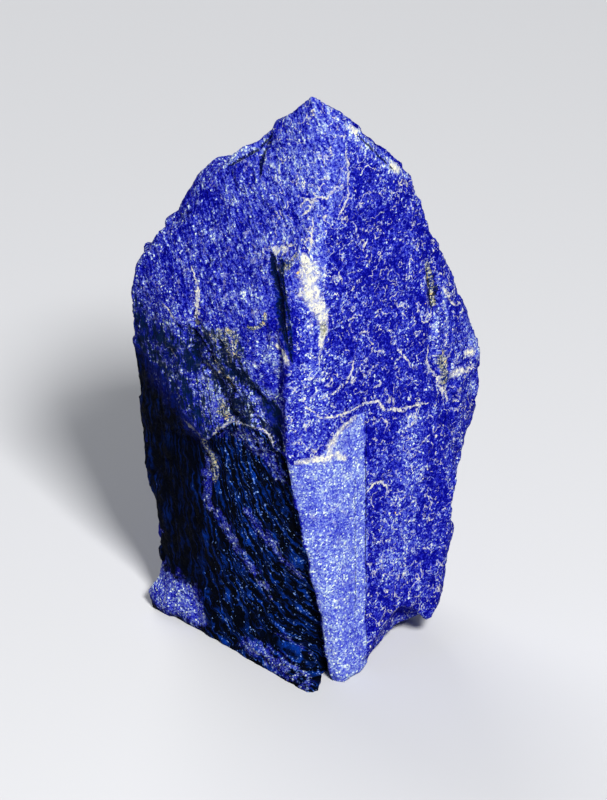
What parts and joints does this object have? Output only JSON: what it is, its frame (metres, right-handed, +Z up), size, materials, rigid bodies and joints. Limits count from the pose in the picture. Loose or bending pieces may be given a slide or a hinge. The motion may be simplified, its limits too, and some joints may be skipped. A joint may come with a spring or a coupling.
{
  "type": "rough lapis lazuli",
  "caption": "Upright piece of rough deep-blue lapis lazuli with broken faces, a pale front strip and white and brassy flecks, standing on a flat base.",
  "frame": {"origin": "middle of the bounding box's floor, on the flat base that the stone rests on", "axes": "+Z up through the peak, +X to the stone's right and +Y to its back"},
  "size_m": [0.0512, 0.0378, 0.087],
  "materials": {
    "lapis": "rough natural fracture, deep blue with pale blue, white and brassy grains"
  },
  "bodies": {
    "root": {"lapis_stone": "lapis"}
  },
  "joints": []
}
